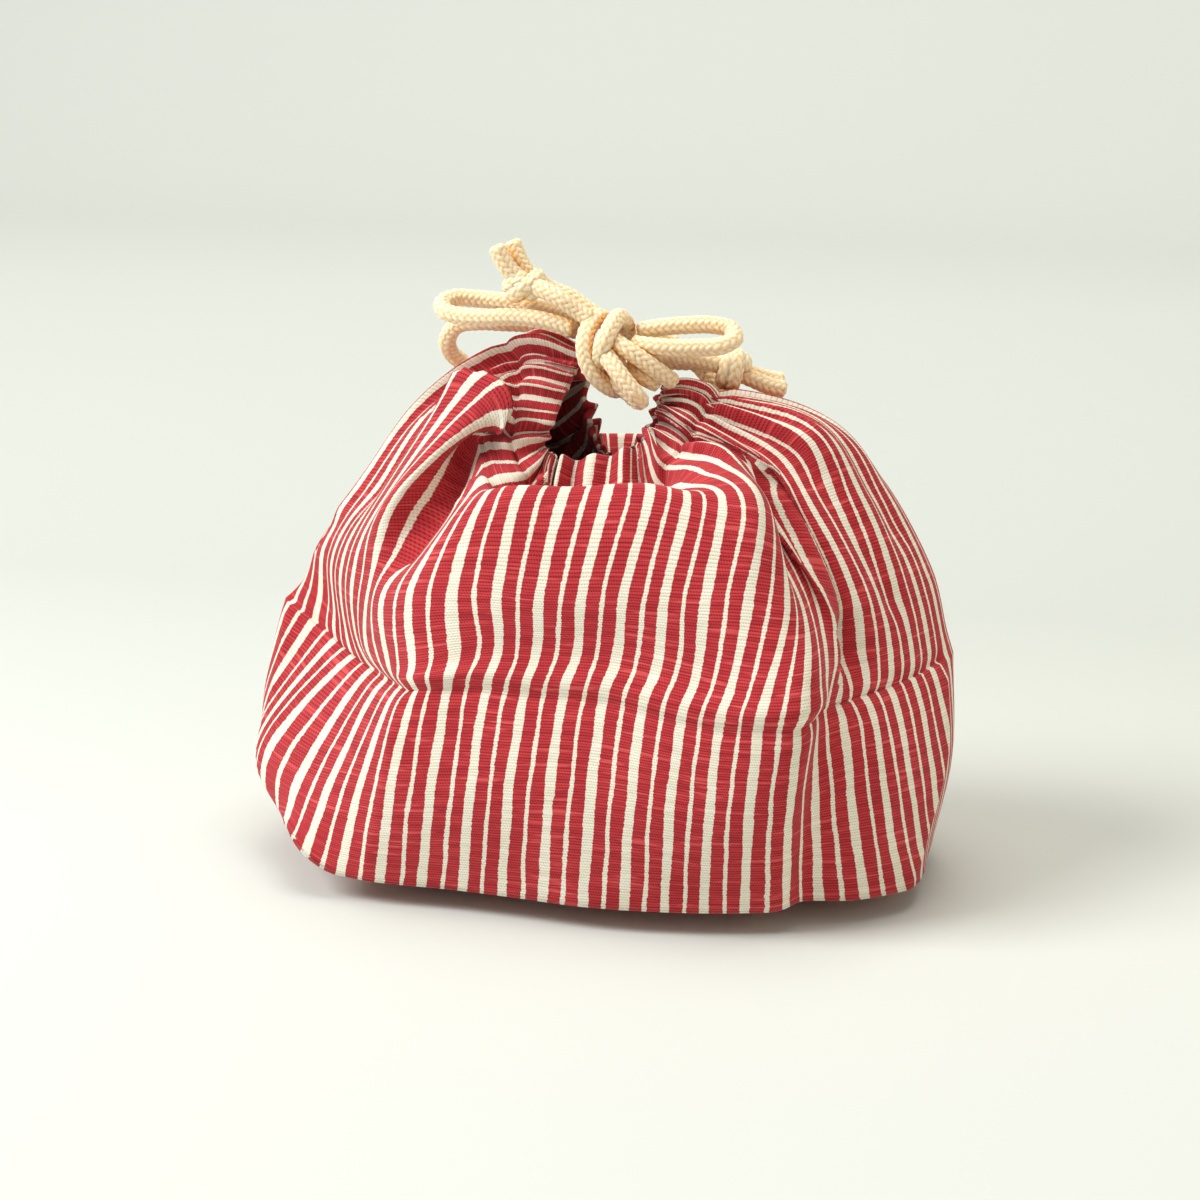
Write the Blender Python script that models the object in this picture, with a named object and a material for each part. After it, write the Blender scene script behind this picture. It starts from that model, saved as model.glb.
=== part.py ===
"""Drawstring lunch bag of striped cotton, standing as when full, tied shut with two doubled cords.

Metres, +Z up, origin on the ground at the middle of the base. +X runs along the bag to its right
end, -Y is the front. The cloth is one surface of two lengths: along it, round the bag from the
middle of the front, and up it, from the base seam to the edge of the mouth.
"""
import bpy
import numpy as np

MM = 0.001

# The cloth, as it is cut
REPEATS_ROUND = 45
CLOTH_THICKNESS = 0.8 * MM
WALL_CUT = 190 * MM
CHANNEL_WIDTH = 22 * MM

# The bag, as it stands
BASE_LENGTH = 194 * MM
BASE_DEPTH = 124 * MM
BAG_HEIGHT = 157 * MM

# The print: where each stripe of a repeat ends, as a share of the repeat, and its linear colour.
# The repeat starts in the middle of its broad cream stripe.
RED, CREAM = (0.47, 0.035, 0.045), (0.87, 0.84, 0.68)
STRIPES = [(0.13, CREAM), (0.44, RED), (0.56, CREAM), (0.87, RED), (1.0, CREAM)]

# Gathers at the mouth
PLEATS = 20
PLEAT_DEPTH = 2.6 * MM
PLEAT_START = 138 * MM

# Fineness of the cloth's mesh
COLUMNS_PER_PLEAT = 5

# The cords
CORD_DIAMETER = 5.4 * MM
CORD_POINT_SPACING = 1.2 * CORD_DIAMETER

# The net that gives the standing bag its folds is drawn in millimetres for a bag of this length,
# depth and height, and graded from it to the sizes above.
DRAWN_LENGTH, DRAWN_DEPTH, DRAWN_HEIGHT = 194 * MM, 124 * MM, 157 * MM
DRAWN_CUT = 190 * MM

# Stations round the bag, in stripe repeats from the stripe just right of the middle of the front:
# the left end is near -11, the right end near 10, and the back runs from 13 to 30.
STATIONS = [-12.5, -10.5, -9, -8, -7, -6.3, -5.6, -4.8, -3.5, -2, 0, 2, 3, 4, 5, 6, 7, 8.5, 10.5, 13,
            16, 19.4, 22.8, 27, 30.5]
FRONT_STATION = -0.5

# Rows of the net, each at its height up the cloth in millimetres.
NET = {
    # the base seam, which lifts off the ground at the bag's lower left corner
    0: [(-95, 16, 7), (-96, -8, 8), (-92.5, -26, 13), (-87, -40, 17), (-79.4, -49.2, 11.8),
        (-71.5, -51, 8), (-63, -52, 7.3), (-53, -53.5, 7), (-37, -55, 7), (-18.7, -57.5, 7),
        (5.6, -61.5, 7), (29, -61, 7), (40, -59.5, 7), (51, -57, 7), (63, -54, 7), (73, -48, 7),
        (83, -39, 7), (94, -24, 7), (96, -1, 8), (93, 29, 7),
        (72, 54, 7), (35, 62, 7), (-6, 64, 7), (-56, 59, 7), (-88, 38, 7)],
    # halfway up the wall, which stands out past the base seam
    32: [(-108, 12, 38), (-106, -3, 34), (-101, -14, 31), (-86, -30, 30), (-74, -41, 31),
         (-66, -47, 32), (-58, -52, 33), (-49, -56, 34), (-33, -59, 36), (-16, -61, 37),
         (8, -63, 38), (31, -65, 37), (42, -65, 36), (53, -64, 36), (64, -60, 36), (73, -53, 37),
         (80, -46, 39), (91, -34, 39), (100, -14, 38), (100, 16, 39),
         (78, 46, 38), (38, 62, 38), (-4, 65, 38), (-56, 60, 38), (-95, 38, 38)],
    # the crease over the top edge of the box inside
    63: [(-104, 14, 72), (-88, 1, 66), (-76, -12, 63), (-68, -22, 62), (-61, -33, 62),
         (-55, -42, 63), (-50, -49, 64), (-44, -52, 65), (-30, -53, 66), (-13, -55, 66),
         (10, -57, 66), (33, -61, 63), (44, -62, 62), (55, -62, 62), (66, -59, 62), (73, -49, 64),
         (78, -38, 65), (85, -25, 65), (95, -8, 66), (100, 16, 66),
         (80, 44, 65), (40, 58, 65), (-3, 61, 65), (-54, 56, 66), (-92, 38, 69)],
    # just over the crease, where the cloth falls in
    74: [(-100, 16, 78), (-88, 7, 71), (-80, -2, 67), (-74, -10, 66), (-68, -20, 66),
         (-60, -32, 67), (-53, -42, 68), (-44.5, -49, 71), (-27, -51, 75), (-10, -52, 76),
         (13, -53, 76), (36, -56, 73), (46.5, -58, 72), (57, -59, 72), (67, -56, 73), (72, -45, 73),
         (77, -33, 72), (84, -20, 71), (93, -3, 71), (98, 17, 72),
         (78, 42, 75), (39, 56, 76), (-3, 58, 76), (-52, 53, 76), (-88, 37, 78)],
    # the shoulder
    98: [(-98, 21, 90), (-89, 11, 87), (-82, 2, 85), (-76, -6, 85), (-68, -16, 86), (-63, -25, 87),
         (-55, -35, 90), (-46, -43, 93), (-28, -48, 95), (-9, -50, 95), (15, -50, 96), (38, -50, 96),
         (50, -49, 96), (60, -45, 94), (62, -37, 92), (63, -27, 91), (73, -25, 91), (80, -15, 90),
         (88, -1, 90), (93, 17, 91),
         (73, 37, 97), (36, 50, 99), (-3, 52, 100), (-48, 47, 99), (-82, 35, 96)],
    # the top of the front, puffed out in a level fold
    124: [(-90, 26, 104), (-81, 15, 104), (-74, 5, 104), (-66, -6, 108), (-57, -19, 115),
          (-46, -15, 114), (-38, -23, 114), (-33, -34, 117), (-22, -38, 121), (-4, -38, 123),
          (20, -38, 124), (40, -38, 122), (50, -35, 120), (52, -27, 116), (43, -17, 114),
          (46, -11, 114), (56, -14, 116), (66, -8, 115), (76, 4, 115), (79, 20, 115),
          (60, 32, 120), (28, 41, 121), (-3, 42, 121), (-38, 39, 120), (-68, 33, 114)],
    # the neck, where the cloth turns in under the fold and into the gathers
    146: [(-70, 24, 127), (-60, 13, 132), (-49, 0, 138), (-39, -8, 141), (-32, -12, 137),
          (-37, -7, 128), (-34, -13, 124), (-28, -24, 118), (-16, -27, 113), (-5, -28, 111),
          (9, -28, 111), (26, -27, 122), (37, -22, 127), (40, -15, 127), (38, -9, 126),
          (41, -6, 127), (46, -8, 127), (54, -2, 130), (62, 9, 132), (65, 21, 129),
          (46, 30, 122), (18, 32, 113), (-2, 32, 111), (-24, 31, 114), (-48, 29, 128)],
    # the seam at the foot of the channel
    168: [(-31, 9, 155), (-29, 3, 151), (-27, -2, 146), (-26, -5, 141), (-26, -8, 134),
          (-27, -11, 130), (-24, -14, 125), (-20, -16, 119), (-17, -18, 113), (-12, -19, 109),
          (8, -19, 109), (18, -16, 119), (23, -12, 127), (25, -9, 130), (26, -7, 131), (26, -5, 133),
          (27, -3, 136), (29, 2, 139), (31, 9, 141), (29, 18, 140),
          (20, 23, 126), (8, 24, 108), (-2, 24, 106), (-14, 23, 114), (-27, 17, 147)],
    # the edge of the mouth: high at both sides, low at the front and the back
    190: [(-10, 4, 155), (-9, -1, 151), (-11, -4, 145), (-13, -6, 140), (-15, -7, 134),
          (-15.5, -7.5, 130.5), (-16, -8, 128), (-16, -9, 126), (-15, -10, 125), (-11.5, -10.5, 125),
          (6.5, -10.5, 127), (12, -8, 131), (13, -6, 132), (14, -4, 134), (14.5, -2, 135.5),
          (15, 0, 137), (15, 2, 138), (15, 4, 141), (15, 8, 143), (14, 13, 141),
          (9, 12, 131), (4, 11, 121), (-1, 11, 120), (-6, 11, 130), (-9, 9, 150)],
}

# The row of the net in which the cloth is creased
CREASE_ROW = 63

# Heights up the cloth of the mesh's rows, in millimetres
MESH_ROWS = [0, 14, 34, 52, 63, 69, 78, 92, 108, 119, 127, 136, 146, 155, 163, 170, 177, 184, 190]

# The base under the seam: how far each ring is drawn in and how high it lies, as shares of the
# seam's own measures
BASE_RINGS = [(0.60, 0.0), (0.85, 0.6)]

# Routes of the cords' free stretches, in millimetres, from the knot outwards
CORD_ROUTES = {
    # the left loop of the bow: out at the back, round its bend and back in at the front
    "cord_left_loop": [(-9.8, 7.8, 161), (-17, 11, 163), (-26, 11.5, 164.5), (-34, 12, 165.5),
                       (-42, 12, 166), (-48, 9.5, 166.5), (-50.5, 5.5, 165.5), (-49, 1.5, 164),
                       (-44, -0.5, 163), (-36, -1.5, 163), (-28, -1.5, 163.5), (-20, -1.5, 163),
                       (-10.4, -0.6, 160.4)],
    # the left cord's way down behind the left side of the mouth to its slit in the channel
    "cord_left_exit": [(-8.8, 11.6, 157.2), (-17, 17, 157.5), (-26, 18.5, 158), (-35, 19, 158),
                       (-43, 19, 158), (-50, 20, 156.5), (-53.5, 22, 152), (-53.5, 26, 147),
                       (-50, 28.5, 143), (-47, 26.4, 140.4), (-46.7, 23.0, 138.4)],
    "cord_left_tail_1": [(-8.4, -1, 165.7), (-13.5, -2, 169.3), (-18.4, -1.2, 171.5)],
    "cord_left_tail_2": [(-8.1, 5.1, 165.8), (-12.5, 5.5, 168.6), (-17.5, 4.9, 170.6)],
    "cord_left_end_1": [(-29.4, 0.4, 177.2), (-31.7, 0, 181), (-33, 0, 184)],
    "cord_left_end_2": [(-27.1, 6, 178.2), (-28.8, 6.5, 181.7), (-30, 6.6, 184.5)],
    # the right loop of the bow
    "cord_right_loop": [(7.2, 5.8, 159.3), (14, 7.5, 160.5), (21, 9.5, 161), (28, 11.5, 161),
                        (33.5, 11.5, 160), (35.5, 8, 158), (32.5, 4, 156.5), (26, 2, 156),
                        (19, 0, 156), (12, -1, 156.5), (6.9, -0.5, 156.9)],
    "cord_right_tail_1": [(8.4, 7.6, 152.1), (13, 11, 152.2), (19, 15.5, 150.8), (25.3, 19.1, 148.9)],
    "cord_right_tail_2": [(4.1, 11.6, 149.7), (9, 17, 149), (17, 21.5, 148), (25, 24.6, 147.5)],
    "cord_right_end_1": [(38.7, 24, 142.9), (43, 25, 141), (48, 26, 140)],
    "cord_right_end_2": [(37.7, 29.2, 143.3), (42, 31.5, 141.8), (46, 33, 141)],
    # the right cord's way down behind the right side of the mouth to its slit in the channel
    "cord_right_exit": [(1.3, 12, 155.4), (6, 20, 155.5), (13, 26.5, 152.5), (19, 30.5, 147),
                        (24, 32, 141), (27, 31, 135), (28, 28.6, 130.2),
                        (27.8, 26.4, 125.8)],
    # the two short stretches that the knot holds down against the right side of the mouth
    "cord_bow_bight": [(0.5, -6.2, 147.5), (4.5, -6, 143.5), (8.5, -5.5, 140.5)],
    "cord_bow_strand": [(8, 1.5, 146.6), (10.2, 3, 145.6), (12.3, 4.6, 144.9)],
}

# The knots: middle, half sizes and how far each leans to the left going up, in millimetres
KNOTS = {
    "bow_knot": ((-1, 4, 154), (8.2, 7.4, 12.5), 2.5),
    "end_knot_left": ((-25, 3, 172), (6.6, 6.6, 6.0), 0),
    "end_knot_right": ((32.5, 22.5, 146), (6.6, 6.6, 6.0), 0),
}
KNOT_RIDGES = 3
KNOT_RIDGE_SHARE = 0.07
KNOT_AROUND, KNOT_UP = 18, 11


def clear_scene():
    """Remove every object, so that the file holds only the bag."""
    for old in list(bpy.data.objects):
        bpy.data.objects.remove(old)


def spline(knots, values, at, period=None):
    """Smooth curve through values at uneven knots; with a period, it closes on itself.

    Between two knots it is a cubic whose end slopes are those of the parabola through each knot
    and its two neighbours.
    """
    knots = np.asarray(knots, float)
    values = np.asarray(values, float)
    at = np.asarray(at, float)
    if period:
        knots = np.concatenate([knots[-2:] - period, knots, knots[:3] + period])
        values = np.concatenate([values[-2:], values, values[:3]])
        at = (at - knots[2]) % period + knots[2]
    step = np.diff(knots)
    wide = (slice(None),) + (None,) * (values.ndim - 1)
    rise = np.diff(values, axis=0) / step[wide]
    slope = np.empty_like(values)
    slope[1:-1] = ((rise[:-1] * step[1:][wide] + rise[1:] * step[:-1][wide])
                   / (step[1:] + step[:-1])[wide])
    slope[0], slope[-1] = rise[0], rise[-1]
    seg = np.clip(np.searchsorted(knots, at, side="right") - 1, 0, len(step) - 1)
    t = ((at - knots[seg]) / step[seg])[wide]
    run = step[seg][wide]
    return (values[seg] * (1 + 2 * t) * (1 - t) ** 2 + slope[seg] * run * t * (1 - t) ** 2
            + values[seg + 1] * t * t * (3 - 2 * t) + slope[seg + 1] * run * t * t * (t - 1))


def cloth_surface(stations, heights):
    """Points of the smooth cloth, before its gathers, one row for each height up the cloth.

    The rows of the net are joined by one spline up to the crease and another from there on, so
    that the cloth breaks sharply at the crease.
    """
    grade = np.array([BASE_LENGTH / DRAWN_LENGTH, BASE_DEPTH / DRAWN_DEPTH,
                      BAG_HEIGHT / DRAWN_HEIGHT]) * MM
    rows = np.array([spline(STATIONS, points, stations, period=REPEATS_ROUND) * grade
                     for points in NET.values()])
    knots = np.array(list(NET)) * MM * WALL_CUT / DRAWN_CUT
    crease = list(NET).index(CREASE_ROW)
    low = heights <= knots[crease]
    return np.concatenate([spline(knots[:crease + 1], rows[:crease + 1], heights[low]),
                           spline(knots[crease:], rows[crease:], heights[~low])])


def outward(points):
    """Unit normals of a grid of rows, each of which closes on itself."""
    along = np.roll(points, -1, axis=1) - np.roll(points, 1, axis=1)
    up = np.gradient(points, axis=0)
    normal = np.cross(along, up)
    return normal / np.linalg.norm(normal, axis=2, keepdims=True)


def gathers(stations, heights):
    """How far the cloth is pleated in and out: a wave round the bag that grows up to the channel."""
    start = PLEAT_START * WALL_CUT / DRAWN_CUT
    rise = np.clip((heights - start) / (WALL_CUT - CHANNEL_WIDTH - start), 0, 1)
    strength = rise * rise * (3 - 2 * rise)
    wave = np.sin(2 * np.pi * PLEATS * np.asarray(stations) / REPEATS_ROUND)
    return PLEAT_DEPTH * strength[:, None] * wave[None, :]


def bag_rows():
    """Rows of points of the bag's outside, from the base's first ring up to the mouth."""
    count = PLEATS * COLUMNS_PER_PLEAT
    stations = FRONT_STATION + REPEATS_ROUND * np.arange(count) / count
    heights = np.array(MESH_ROWS) * MM * WALL_CUT / DRAWN_CUT
    wall = cloth_surface(stations, heights)
    wall = wall + outward(wall) * gathers(stations, heights)[:, :, None]
    rings = []
    for share, lift in BASE_RINGS:
        rings.append(wall[0] * [share, share, lift])
    return np.concatenate([np.array(rings), wall])


def shell_mesh(name, rows, thickness):
    """A closed shell: the rows are its outside, and its inside lies one thickness within."""
    count_rows, count = rows.shape[:2]
    inside = rows - outward(rows) * thickness
    inside[0, :, 2] = rows[0, :, 2] + thickness
    verts = np.concatenate([rows.reshape(-1, 3), inside.reshape(-1, 3)])
    low = np.arange((count_rows - 1) * count)
    ring = np.arange(count)
    after = (ring + 1) % count
    right = low // count * count + (low % count + 1) % count
    within = count_rows * count
    top = (count_rows - 1) * count
    outer = np.stack([low, right, right + count, low + count], axis=1)
    inner = np.stack([right, low, low + count, right + count], axis=1) + within
    rim = np.stack([top + ring, top + after, top + after + within, top + ring + within], axis=1)
    floor = [ring[::-1].tolist(), (ring + within).tolist()]
    faces = [*outer.tolist(), *inner.tolist(), *rim.tolist(), *floor]
    mesh = bpy.data.meshes.new(name)
    mesh.from_pydata(verts, [], faces)
    mesh.shade_smooth()
    lay_out_print(mesh, count_rows, count)
    return mesh


def lay_out_print(mesh, count_rows, count):
    """A UV map that runs round the bag in stripe repeats and up it from 0 to 1."""
    column = np.arange(count)
    start = np.tile(column, count_rows - 1)
    around = FRONT_STATION + REPEATS_ROUND / count * np.stack([start, start + 1, start + 1, start], 1)
    row = np.repeat(np.arange(count_rows - 1), count)
    up = np.stack([row, row, row + 1, row + 1], 1) / (count_rows - 1)
    outer = np.stack([around, up], axis=-1).reshape(-1, 2)
    inner = np.stack([around[:, [1, 0, 3, 2]], up], axis=-1).reshape(-1, 2)
    rim = np.stack([around[:count], np.ones((count, 4))], axis=-1).reshape(-1, 2)
    floor = np.zeros((2 * count, 2))
    layer = mesh.uv_layers.new(name="print")
    layer.data.foreach_set("uv", np.concatenate([outer, inner, rim, floor]).ravel())


def material(name, colour, roughness):
    """A matt Principled material; the colour is linear."""
    made = bpy.data.materials.new(name)
    made.use_nodes = True
    shader = made.node_tree.nodes["Principled BSDF"]
    shader.inputs["Base Color"].default_value = (*colour, 1)
    shader.inputs["Roughness"].default_value = roughness
    return made


def striped_material(name):
    """Matt cotton printed with red and cream stripes that run up the cloth."""
    made = material(name, RED, 0.9)
    nodes, links = made.node_tree.nodes, made.node_tree.links
    place = nodes.new("ShaderNodeUVMap")
    place.uv_map = "print"
    split = nodes.new("ShaderNodeSeparateXYZ")
    share = nodes.new("ShaderNodeMath")
    share.operation = "FRACT"
    ramp = nodes.new("ShaderNodeValToRGB")
    ramp.color_ramp.interpolation = "CONSTANT"
    start = 0.0
    for index, (end, colour) in enumerate(STRIPES):
        stops = ramp.color_ramp.elements
        stop = stops[index] if index < 2 else stops.new(start)
        stop.position = start
        stop.color = (*colour, 1)
        start = end
    links.new(place.outputs["UV"], split.inputs["Vector"])
    links.new(split.outputs["X"], share.inputs[0])
    links.new(share.outputs["Value"], ramp.inputs["Fac"])
    links.new(ramp.outputs["Color"], nodes["Principled BSDF"].inputs["Base Color"])
    return made


def add_object(name, data, finish):
    """Link a mesh or a curve into the scene under its name, with its material."""
    data.materials.append(finish)
    piece = bpy.data.objects.new(name, data)
    bpy.context.collection.objects.link(piece)
    return piece


def make_bag(finish):
    """The sewn bag: walls, base and channel in one cloth."""
    return add_object("bag_body", shell_mesh("bag_body", bag_rows(), CLOTH_THICKNESS), finish)


def smooth_route(points, spacing):
    """A smooth curve through a route's points, cut into equal steps of about the spacing."""
    points = np.array(points) * MM
    along = np.concatenate([[0], np.cumsum(np.linalg.norm(np.diff(points, axis=0), axis=1))])
    count = max(3, int(round(along[-1] / spacing)) + 1)
    return spline(along, points, np.linspace(0, along[-1], count))


def make_cord(name, finish):
    """One free stretch of cord: a round tube along its route, closed at both ends."""
    route = smooth_route(CORD_ROUTES[name], CORD_POINT_SPACING)
    curve = bpy.data.curves.new(name, "CURVE")
    curve.dimensions = "3D"
    curve.bevel_depth = CORD_DIAMETER / 2
    curve.bevel_resolution = 2
    curve.use_fill_caps = True
    line = curve.splines.new("POLY")
    line.points.add(len(route) - 1)
    line.points.foreach_set("co", np.column_stack([route, np.ones(len(route))]).ravel())
    return add_object(name, curve, finish)


def make_knot(name, finish):
    """A knot's outer shape: a ball with slanting ridges, closed with a point at each pole."""
    middle, half, lean = (np.array(value) * MM for value in KNOTS[name])
    around = 2 * np.pi * np.arange(KNOT_AROUND) / KNOT_AROUND
    up = np.pi * np.arange(1, KNOT_UP) / KNOT_UP - np.pi / 2
    around, up = np.meshgrid(around, up)
    swell = 1 + KNOT_RIDGE_SHARE * np.sin(KNOT_RIDGES * around + 2 * up) * np.cos(up)
    ball = np.stack([np.cos(around) * np.cos(up), np.sin(around) * np.cos(up), np.sin(up)], axis=-1)
    points = ball * swell[..., None]
    poles = np.array([[0, 0, -1.0], [0, 0, 1.0]])
    verts = np.concatenate([points.reshape(-1, 3), poles])
    verts = verts * half + middle - np.outer(verts[:, 2], [lean, 0, 0])
    ring = np.arange(KNOT_AROUND)
    after = (ring + 1) % KNOT_AROUND
    top = (KNOT_UP - 2) * KNOT_AROUND
    low_pole = len(verts) - 2
    faces = []
    for row in range(KNOT_UP - 2):
        start = row * KNOT_AROUND
        band = [start + ring, start + after, start + after + KNOT_AROUND, start + ring + KNOT_AROUND]
        faces += np.stack(band, axis=1).tolist()
    faces += np.stack([after, ring, np.full(KNOT_AROUND, low_pole)], axis=1).tolist()
    faces += np.stack([top + ring, top + after, np.full(KNOT_AROUND, low_pole + 1)], axis=1).tolist()
    mesh = bpy.data.meshes.new(name)
    mesh.from_pydata(verts, [], faces)
    mesh.shade_smooth()
    return add_object(name, mesh, finish)


def main():
    clear_scene()
    cotton = striped_material("striped_cotton")
    braid = material("braided_cord", (0.87, 0.68, 0.42), 0.8)
    make_bag(cotton)
    for name in CORD_ROUTES:
        make_cord(name, braid)
    for name in KNOTS:
        make_knot(name, braid)


main()
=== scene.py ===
"""A drawstring lunch bag of striped slub cotton, standing full and tied shut with a bow of two cords.

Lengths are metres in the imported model's frame: +Z up, +X to the bag's right end, -Y its front.
"""
import bpy
import numpy as np
from mathutils import Matrix, Vector


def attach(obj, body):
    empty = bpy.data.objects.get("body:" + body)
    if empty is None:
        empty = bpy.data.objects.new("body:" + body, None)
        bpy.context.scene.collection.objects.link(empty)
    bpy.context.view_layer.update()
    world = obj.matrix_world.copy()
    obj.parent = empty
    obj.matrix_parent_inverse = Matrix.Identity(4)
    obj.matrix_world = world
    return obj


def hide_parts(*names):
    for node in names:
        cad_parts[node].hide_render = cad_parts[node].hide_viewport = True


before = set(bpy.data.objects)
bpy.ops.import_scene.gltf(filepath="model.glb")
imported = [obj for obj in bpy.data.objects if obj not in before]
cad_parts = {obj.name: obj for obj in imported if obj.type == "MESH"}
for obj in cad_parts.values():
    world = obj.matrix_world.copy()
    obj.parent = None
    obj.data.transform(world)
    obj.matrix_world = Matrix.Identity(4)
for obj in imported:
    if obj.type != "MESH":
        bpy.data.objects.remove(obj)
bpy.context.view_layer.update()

MM = 0.001


# The camera: it stands a metre off, a little to the left of the bag's front and above it, and
# sees a square 360 mm wide at the bag's middle.

CAMERA_AZIMUTH = np.radians(12)
CAMERA_ELEVATION = np.radians(15)
CAMERA_DISTANCE = 1.0
VIEW_WIDTH = 360 * MM
SENSOR_WIDTH = 36.0
AIM_RIGHT, AIM_UP = -2.4 * MM, 77.4 * MM

camera_ahead = np.array([-np.sin(CAMERA_AZIMUTH) * np.cos(CAMERA_ELEVATION),
                         np.cos(CAMERA_AZIMUTH) * np.cos(CAMERA_ELEVATION),
                         -np.sin(CAMERA_ELEVATION)])
camera_right = np.array([np.cos(CAMERA_AZIMUTH), np.sin(CAMERA_AZIMUTH), 0.0])
camera_up = np.cross(camera_right, camera_ahead)
camera_place = AIM_RIGHT * camera_right + AIM_UP * camera_up - CAMERA_DISTANCE * camera_ahead

lens = bpy.data.cameras.new("camera")
lens.sensor_width = SENSOR_WIDTH
lens.lens = SENSOR_WIDTH * CAMERA_DISTANCE / VIEW_WIDTH
camera = bpy.data.objects.new("camera", lens)
bpy.context.collection.objects.link(camera)
turn = Matrix(np.column_stack([camera_right, camera_up, -camera_ahead]).tolist()).to_4x4()
camera.matrix_world = Matrix.Translation(Vector(camera_place)) @ turn
bpy.context.scene.camera = camera


# The drawcords: two soft acrylic cords, each braided in 16 bundles of yarn and 5.4 mm thick. Each
# leaves the channel by its own slit, is tied to the other in the bow knot over the mouth, and has
# its two cut ends held together by an end knot.

CORD_DIAMETER = 5.4 * MM
BUNDLES_EACH_WAY = 8
BRAID_PITCH = 2.1 * MM
BRAID_RELIEF = 0.62 * MM
BUNDLE_ROUND, BUNDLE_RISE = 0.55, 0.45  # shares of the relief: the round back, the over and under
STRAND_SHIFT = 0.137  # of the braid, from one strand of a knot to the next
POINTS_AROUND = 64
STEP_ALONG = 0.3 * MM
CURVE_FINENESS = 40  # steps to each point of a route
END_ROUNDING = 1.0 * MM
END_FLAT = 0.8  # how far along its quarter circle the rounding of an end goes


def spline(knots, values, at, period=None):
    """Smooth curve through values at uneven knots; with a period, it closes on itself.

    Between two knots it is a cubic whose end slopes are those of the parabola through each knot
    and its two neighbours.
    """
    knots = np.asarray(knots, float)
    values = np.asarray(values, float)
    at = np.asarray(at, float)
    if period:
        knots = np.concatenate([knots[-2:] - period, knots, knots[:3] + period])
        values = np.concatenate([values[-2:], values, values[:3]])
        at = (at - knots[2]) % period + knots[2]
    step = np.diff(knots)
    wide = (slice(None),) + (None,) * (values.ndim - 1)
    rise = np.diff(values, axis=0) / step[wide]
    slope = np.empty_like(values)
    slope[1:-1] = ((rise[:-1] * step[1:][wide] + rise[1:] * step[:-1][wide])
                   / (step[1:] + step[:-1])[wide])
    slope[0], slope[-1] = rise[0], rise[-1]
    seg = np.clip(np.searchsorted(knots, at, side="right") - 1, 0, len(step) - 1)
    t = ((at - knots[seg]) / step[seg])[wide]
    run = step[seg][wide]
    return (values[seg] * (1 + 2 * t) * (1 - t) ** 2 + slope[seg] * run * t * (1 - t) ** 2
            + values[seg + 1] * t * t * (3 - 2 * t) + slope[seg + 1] * run * t * t * (t - 1))


def length_along(path):
    """Distance of each point of a path from its start, measured along it."""
    return np.concatenate([[0], np.cumsum(np.linalg.norm(np.diff(path, axis=0), axis=1))])


def cord_path(points):
    """The smooth curve through a route's points in millimetres, cut into equal steps in metres."""
    points = np.array(points) * MM
    along = length_along(points)
    fine = spline(along, points, np.linspace(0, along[-1], CURVE_FINENESS * len(points)))
    along = length_along(fine)
    count = int(round(along[-1] / STEP_ALONG)) + 1
    at = np.linspace(0, along[-1], count)
    return np.stack([np.interp(at, along, fine[:, axis]) for axis in range(3)], axis=1)


def unit(vectors):
    """The vectors at length 1."""
    return vectors / np.linalg.norm(vectors, axis=-1, keepdims=True)


def untwisted_sides(path):
    """Two unit vectors square to a path at each point, which never turn about it.

    The first guess is square to the path and to the normal of its own mean plane. The angle by
    which each guess turns about the path from the one before is summed, and taken off again.
    """
    ahead = unit(np.gradient(path, axis=0))
    plane = np.linalg.svd(path - path.mean(axis=0))[2][-1]
    side = unit(np.cross(ahead, plane))
    other = np.cross(ahead, side)
    turn = np.arctan2((other[:-1] * side[1:]).sum(axis=1), (side[:-1] * side[1:]).sum(axis=1))
    twist = np.concatenate([[0], np.cumsum(turn)])[:, None]
    return (np.cos(twist) * side - np.sin(twist) * other,
            np.sin(twist) * side + np.cos(twist) * other)


def braid(around, along):
    """Relief of the braid, and the place across and along the bundle that lies on top.

    Two sets of bundles wind round the cord in opposite directions. The height of each is a half
    circle across it plus a sine along it, which lifts it over two bundles of the other set and
    sinks it under the next two. The relief is the higher of the two heights.
    """
    ahead = around * BUNDLES_EACH_WAY + along / BRAID_PITCH
    back = around * BUNDLES_EACH_WAY - along / BRAID_PITCH
    across_ahead, across_back = ahead % 1, back % 1
    wave_ahead = np.sin(np.pi / 2 * (back + np.floor(ahead)))
    wave_back = -np.sin(np.pi / 2 * (ahead + np.floor(back)))
    height_ahead = BUNDLE_ROUND * np.sqrt(1 - (2 * across_ahead - 1) ** 2) + BUNDLE_RISE * wave_ahead
    height_back = BUNDLE_ROUND * np.sqrt(1 - (2 * across_back - 1) ** 2) + BUNDLE_RISE * wave_back
    on_top = height_ahead > height_back
    relief = np.maximum(height_ahead, height_back)
    return relief, np.where(on_top, across_ahead, across_back), np.where(on_top, back, ahead)


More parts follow.
